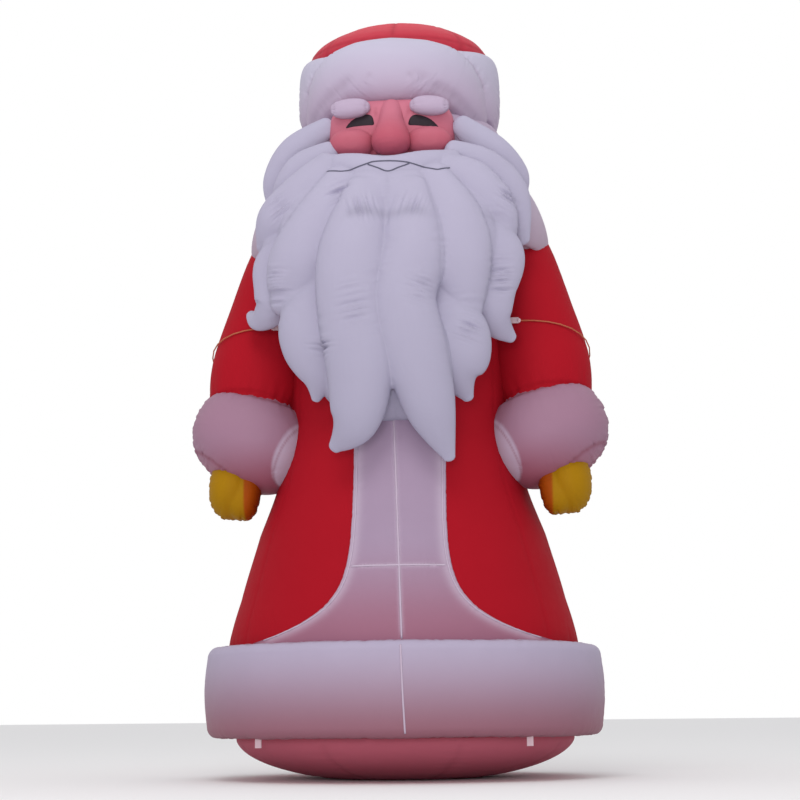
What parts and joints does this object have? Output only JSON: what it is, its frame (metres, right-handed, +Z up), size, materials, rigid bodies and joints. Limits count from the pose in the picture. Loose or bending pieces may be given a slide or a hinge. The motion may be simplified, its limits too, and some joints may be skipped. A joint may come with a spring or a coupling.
{
  "type": "inflatable advertising figure",
  "caption": "Giant air-blown figure of a bearded winter grandfather in a long red robe with white trim, standing on a bowl-shaped base.",
  "frame": {"origin": "middle of the flat underside of the base, on the ground", "axes": "+Z up; the figure faces -Y; +X is the figure's own left side"},
  "size_m": [4.2214, 3.746, 8],
  "materials": {
    "base_cloth": "coated nylon, dull dark red",
    "robe_cloth": "coated nylon, smooth red with a soft sheen",
    "hat_cloth": "coated nylon, lighter red",
    "hem_cloth": "coated nylon, white with a pink shade low down",
    "panel_cloth": "coated nylon, white with a pink shade",
    "collar_cloth": "coated nylon, white",
    "cuff_cloth": "coated nylon, white with a pink shade",
    "mitten_cloth": "coated nylon, mustard yellow",
    "white_cloth": "coated nylon, white",
    "beard_cloth": "coated nylon, white",
    "face_cloth": "coated nylon, pink",
    "rope": "braided polyester rope, orange",
    "webbing": "woven polyester webbing, white"
  },
  "bodies": {
    "root": {"base": "base_cloth", "robe": "robe_cloth", "hem_band": "hem_cloth", "front_panel": "panel_cloth", "collar": "collar_cloth", "sleeve_left": "robe_cloth", "sleeve_right": "robe_cloth", "cuff_left": "cuff_cloth", "cuff_right": "cuff_cloth", "mitten_left": "mitten_cloth", "mitten_right": "mitten_cloth", "head": "white_cloth", "hat_crown": "hat_cloth", "hat_trim": "white_cloth", "face": "face_cloth", "nose": "face_cloth", "brow_left": "white_cloth", "brow_right": "white_cloth", "beard": "beard_cloth", "tie_cord_left": "rope", "tie_cord_right": "rope", "cord_anchor_front_left": "webbing", "cord_anchor_front_right": "webbing", "cord_anchor_back_left": "webbing", "cord_anchor_back_right": "webbing", "hem_tab_front_left": "webbing", "hem_tab_front_right": "webbing", "hem_tab_back_left": "webbing", "hem_tab_back_right": "webbing"}
  },
  "joints": []
}
